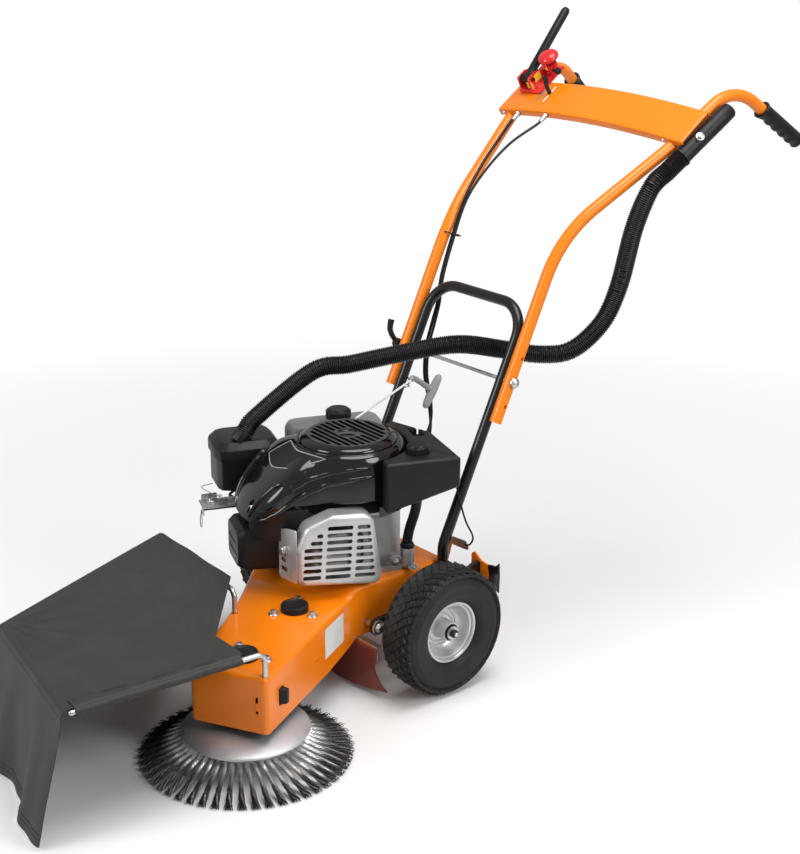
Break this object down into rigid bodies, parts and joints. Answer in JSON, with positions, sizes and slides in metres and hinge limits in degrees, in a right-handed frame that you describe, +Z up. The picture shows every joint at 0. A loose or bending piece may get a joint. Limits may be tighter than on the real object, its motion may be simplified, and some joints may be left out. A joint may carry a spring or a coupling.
{
  "type": "weed brush machine",
  "caption": "Walk-behind weed brush machine: a petrol engine drives a wire cup brush through a belt, with a cloth debris guard and an adjustable handle.",
  "frame": {"origin": "middle of the machine's bounding box, on the ground", "axes": "+Z up, +Y towards the operator, +X the operator's left, which is the side with the adjustable wheel"},
  "size_m": [0.6998, 1.8238, 1.2254],
  "materials": {
    "orange_paint": "gloss",
    "black_paint": "satin",
    "silver_paint": "satin",
    "gloss_black_plastic": "gloss",
    "black_plastic": "satin",
    "grey_plastic": "satin",
    "red_plastic": "gloss",
    "tyre_rubber": "matt",
    "black_rubber": "matt",
    "flap_rubber": "satin",
    "zinc": "zinc plated",
    "steel": "bare",
    "aluminium": "cast",
    "coated_cloth": "coated weave",
    "rope": "braided"
  },
  "bodies": {
    "chassis": {"deck": "orange_paint", "spindle_housing": "zinc", "spindle_cap": "black_plastic", "tensioner_cap": "black_plastic", "belt_cover_plate": "black_paint", "tensioner_pin": "zinc", "drive_belt": "black_rubber", "leg_hoop": "black_paint", "clamp_rod": "zinc", "arm_pivot_bolt": "zinc", "right_axle_arm": "black_paint", "flap_bracket": "zinc", "rear_flap": "flap_rubber", "crankcase": "aluminium", "valve_cover": "black_plastic", "muffler": "steel", "muffler_guard": "silver_paint", "blower_cover": "gloss_black_plastic", "starter_grille": "gloss_black_plastic", "rear_cover": "black_plastic", "oil_tube": "black_plastic", "fuel_tank": "grey_plastic", "air_filter": "black_plastic", "carburettor": "black_plastic", "intake_hose": "black_rubber", "clutch_cable": "black_plastic", "throttle_cable": "black_plastic", "starter_rope": "rope"},
    "brush": {"brush_spindle": "steel", "driven_pulley": "aluminium", "brush_dish": "zinc", "brush_wire": "steel"},
    "crank": {"crankshaft": "steel", "drive_pulley": "aluminium", "flywheel_fan": "aluminium"},
    "tensioner": {"tensioner_arm": "zinc"},
    "idler": {"idler_pulley": "steel"},
    "wheel_carrier": {"wheel_arm": "black_paint", "foot_pedal": "orange_paint"},
    "left_wheel": {"left_wheel_rim": "silver_paint", "left_wheel_tyre": "tyre_rubber"},
    "right_wheel": {"right_wheel_rim": "silver_paint", "right_wheel_tyre": "tyre_rubber"},
    "clamp": {"clamp_lever": "black_plastic"},
    "handle": {"left_handle_tube": "orange_paint", "right_handle_tube": "orange_paint", "left_grip": "black_rubber", "right_grip": "black_rubber", "console": "orange_paint", "lock_bracket": "red_plastic", "intake_duct": "black_plastic"},
    "throttle": {"throttle_lever": "black_plastic"},
    "clutch": {"clutch_lever": "black_plastic"},
    "lock": {"lock_button": "red_plastic"},
    "oil_filler": {"oil_cap": "black_plastic"},
    "fuel_filler": {"fuel_cap": "black_plastic"},
    "starter": {"starter_grip": "grey_plastic"},
    "guard": {"guard_front_rod": "zinc", "guard_rear_rod": "zinc", "guard_cloth": "coated_cloth"}
  },
  "joints": [
    {"name": "brush_turn", "type": "hinge", "parent": "chassis", "child": "brush", "pos_m": [0.151, -0.4665, 0.1], "axis": [0, 0, 1], "continuous": true},
    {"name": "crank_turn", "type": "hinge", "parent": "chassis", "child": "crank", "pos_m": [-0.035, -0.0745, 0.2], "axis": [0, 0, 1], "continuous": true},
    {"name": "tensioner_swing", "type": "hinge", "parent": "chassis", "child": "tensioner", "pos_m": [0.05566, -0.27939, 0.15], "axis": [0, 0, 1], "range_deg": [-6, 0], "deforming": ["drive_belt"]},
    {"name": "idler_turn", "type": "hinge", "parent": "tensioner", "child": "idler", "pos_m": [0.0445, -0.22225, 0.134], "axis": [0, 0, 1], "continuous": true},
    {"name": "height_swing", "type": "hinge", "parent": "chassis", "child": "wheel_carrier", "pos_m": [0.13, -0.1265, 0.134], "axis": [1, 0, 0], "range_deg": [-6, 6]},
    {"name": "left_wheel_turn", "type": "hinge", "parent": "wheel_carrier", "child": "left_wheel", "pos_m": [0.196, -0.0265, 0.13], "axis": [1, 0, 0], "continuous": true},
    {"name": "right_wheel_turn", "type": "hinge", "parent": "chassis", "child": "right_wheel", "pos_m": [-0.274, -0.0265, 0.13], "axis": [1, 0, 0], "continuous": true},
    {"name": "clamp_turn", "type": "hinge", "parent": "chassis", "child": "clamp", "pos_m": [-0.2104, 0.213, 0.5645], "axis": [1, 0, 0], "range_deg": [0, 90]},
    {"name": "handle_swing", "type": "hinge", "parent": "chassis", "child": "handle", "pos_m": [-0.039, 0.213, 0.5645], "axis": [1, 0, 0], "range_deg": [-10, 10], "deforming": ["intake_hose", "clutch_cable", "throttle_cable"]},
    {"name": "throttle_swing", "type": "hinge", "parent": "handle", "child": "throttle", "pos_m": [-0.184, 0.6319, 1.02343], "axis": [1, 0, 0], "range_deg": [-18, 18]},
    {"name": "clutch_press", "type": "hinge", "parent": "handle", "child": "clutch", "pos_m": [-0.254, 0.60897, 1.08061], "axis": [1, 0, 0], "range_deg": [-24, 0], "stiffness_Nm_per_rad": 1.5, "springref_deg": 20.05},
    {"name": "lock_press", "type": "slide", "parent": "handle", "child": "lock", "axis": [0, -0.5734, 0.8193], "range_m": [-0.006, 0], "stiffness_N_per_m": 400, "springref_m": 0.006},
    {"name": "oil_cap_turn", "type": "hinge", "parent": "chassis", "child": "oil_filler", "pos_m": [0.09439, -0.00612, 0.4658], "axis": [0, 0, 1], "range_deg": [0, 180]},
    {"name": "fuel_cap_turn", "type": "hinge", "parent": "chassis", "child": "fuel_filler", "pos_m": [-0.15368, -0.0032, 0.4748], "axis": [0, 0, 1], "range_deg": [0, 180]},
    {"name": "starter_pull", "type": "slide", "parent": "chassis", "child": "starter", "axis": [0.1002, 0.9016, 0.4208], "range_m": [0, 0.3], "stiffness_N_per_m": 8, "springref_m": -0.6, "deforming": ["starter_rope"]},
    {"name": "guard_lift", "type": "slide", "parent": "chassis", "child": "guard", "axis": [0, 0, 1], "range_m": [0, 0.04]}
  ],
  "couplings": [
    {"joint": "crank_turn", "follows": "brush_turn", "ratio": 1.3529},
    {"joint": "tensioner_swing", "follows": "clutch_press", "ratio": 0.25}
  ]
}
